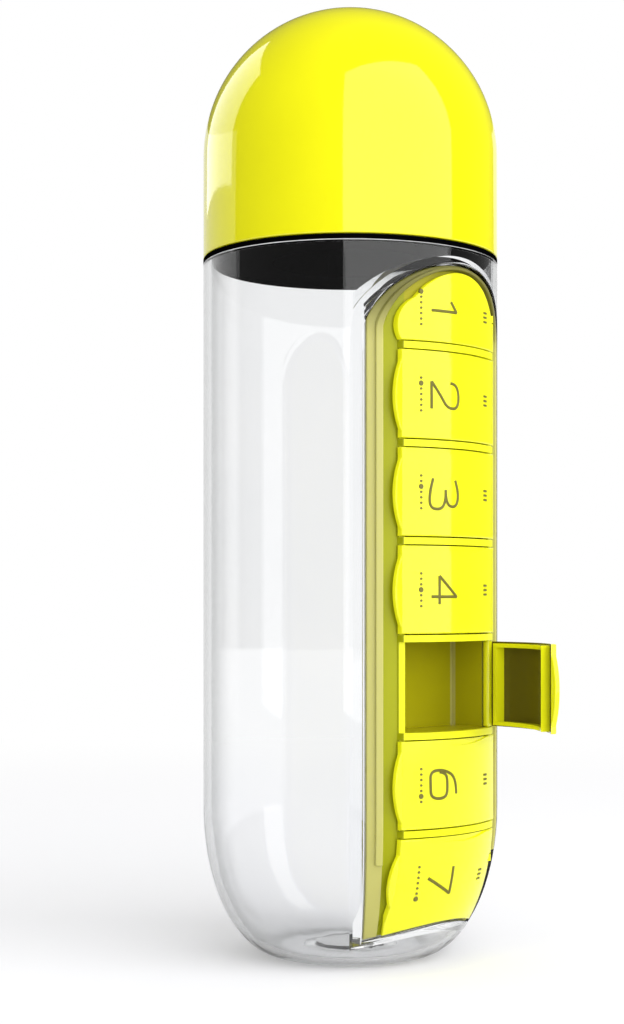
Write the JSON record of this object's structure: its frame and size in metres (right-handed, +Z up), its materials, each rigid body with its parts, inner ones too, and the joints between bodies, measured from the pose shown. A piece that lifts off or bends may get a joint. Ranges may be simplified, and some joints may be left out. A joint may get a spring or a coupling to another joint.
{
  "type": "drinking bottle with weekly pill organizer",
  "caption": "Capsule-shaped clear drinking bottle with a pull-out weekly pill tray in its side, hinged day lids, a screw lid and a dome that lifts off as a cup.",
  "frame": {"origin": "centre of the base, on the bottle's axis, in the plane it stands on", "axes": "+Z up along the bottle's axis, -Y out of the pill tray's front, +X towards the lids' hinges"},
  "size_m": [0.075, 0.1024, 0.2399],
  "materials": {
    "clear_plastic": "clear moulded styrene",
    "black_plastic": "gloss",
    "silicone": "translucent white silicone",
    "yellow_cup": "high gloss",
    "yellow_tray": "gloss",
    "yellow_lid": "gloss"
  },
  "bodies": {
    "bottle": {"bottle_body": "clear_plastic", "neck_collar": "black_plastic"},
    "seal": {"lid_gasket": "silicone"},
    "lid": {"screw_lid": "black_plastic", "cup_grip_ring": "silicone"},
    "cup": {"cup_dome": "yellow_cup"},
    "tray": {"pill_tray": "yellow_tray"},
    "lid_1": {"day_lid_1": "yellow_lid"},
    "lid_2": {"day_lid_2": "yellow_lid"},
    "lid_3": {"day_lid_3": "yellow_lid"},
    "lid_4": {"day_lid_4": "yellow_lid"},
    "lid_5": {"day_lid_5": "yellow_lid"},
    "lid_6": {"day_lid_6": "yellow_lid"},
    "lid_7": {"day_lid_7": "yellow_lid"}
  },
  "joints": [
    {"name": "lid_rise", "type": "slide", "parent": "bottle", "child": "seal", "axis": [0, 0, 1], "range_m": [0, 0.015]},
    {"name": "lid_turn", "type": "hinge", "parent": "seal", "child": "lid", "pos_m": [0, 0, 0.185], "axis": [0, 0, 1], "range_deg": [0, 450]},
    {"name": "cup_lift", "type": "slide", "parent": "lid", "child": "cup", "axis": [0, 0, 1], "range_m": [0, 0.09]},
    {"name": "tray_pull", "type": "slide", "parent": "bottle", "child": "tray", "axis": [0, -1, 0], "range_m": [0, 0.035]},
    {"name": "lid_1_hinge", "type": "hinge", "parent": "tray", "child": "lid_1", "pos_m": [0.01575, -0.03265, 0.15976], "axis": [0, 0, 1], "range_deg": [0, 110]},
    {"name": "lid_2_hinge", "type": "hinge", "parent": "tray", "child": "lid_2", "pos_m": [0.01575, -0.03265, 0.13905], "axis": [0, 0, 1], "range_deg": [0, 110]},
    {"name": "lid_3_hinge", "type": "hinge", "parent": "tray", "child": "lid_3", "pos_m": [0.01575, -0.03265, 0.11575], "axis": [0, 0, 1], "range_deg": [0, 110]},
    {"name": "lid_4_hinge", "type": "hinge", "parent": "tray", "child": "lid_4", "pos_m": [0.01575, -0.03265, 0.09245], "axis": [0, 0, 1], "range_deg": [0, 110]},
    {"name": "lid_5_hinge", "type": "hinge", "parent": "tray", "child": "lid_5", "pos_m": [0.01575, -0.03265, 0.06915], "axis": [0, 0, 1], "range_deg": [-67.5, 42.5]},
    {"name": "lid_6_hinge", "type": "hinge", "parent": "tray", "child": "lid_6", "pos_m": [0.01575, -0.03265, 0.04585], "axis": [0, 0, 1], "range_deg": [0, 110]},
    {"name": "lid_7_hinge", "type": "hinge", "parent": "tray", "child": "lid_7", "pos_m": [0.01575, -0.03187, 0.02219], "axis": [0, 0, 1], "range_deg": [0, 110]}
  ],
  "couplings": [
    {"joint": "lid_rise", "follows": "lid_turn", "m_per_rad": 0.0019}
  ]
}
